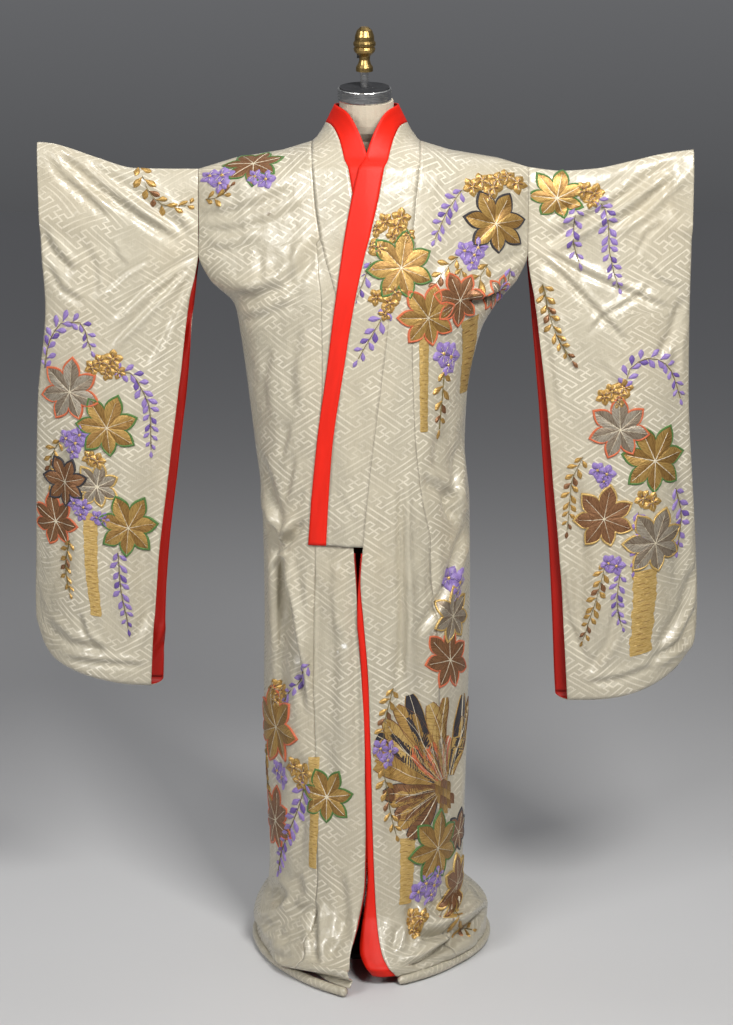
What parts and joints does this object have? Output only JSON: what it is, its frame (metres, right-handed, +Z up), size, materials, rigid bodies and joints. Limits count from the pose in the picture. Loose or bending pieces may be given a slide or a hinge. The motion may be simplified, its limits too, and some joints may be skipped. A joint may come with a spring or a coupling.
{
  "type": "uchikake wedding kimono on a limbless dress form",
  "caption": "Full-length ivory wedding over-kimono with long hanging sleeves, wide collar, red lining and padded hem, standing open on a limbless dress form.",
  "frame": {"origin": "on the floor below the middle of the whole object's box, which is also the axis of the pole", "axes": "+Z up, the garment's front toward -Y, the wearer's left toward +X"},
  "size_m": [1.405, 0.6626, 1.9176],
  "materials": {
    "ivory_satin": "satin woven with a key fret, with couched gold and coloured silk embroidery",
    "scarlet_silk": "plain scarlet silk",
    "padded_hem": "padded ivory satin",
    "form_linen": "plain beige linen",
    "bright_steel": "bright turned steel",
    "dark_plate": "dark grey",
    "brass": "aged satin brass",
    "black_iron": "black enamel"
  },
  "bodies": {
    "root": {"base": "black_iron", "body_panel_left": "ivory_satin", "body_panel_right": "ivory_satin", "collar": "ivory_satin", "collar_lining": "scarlet_silk", "finial": "brass", "form_torso": "form_linen", "front_lining_left": "scarlet_silk", "front_lining_right": "scarlet_silk", "hem_roll_left": "padded_hem", "hem_roll_right": "padded_hem", "neck_cap": "bright_steel", "neck_plate": "dark_plate", "neck_rod": "bright_steel", "overlap_panel_left": "ivory_satin", "overlap_panel_right": "ivory_satin", "pole": "bright_steel", "sleeve_left": "ivory_satin", "sleeve_lining_left": "scarlet_silk", "sleeve_lining_right": "scarlet_silk", "sleeve_right": "ivory_satin"}
  },
  "joints": []
}
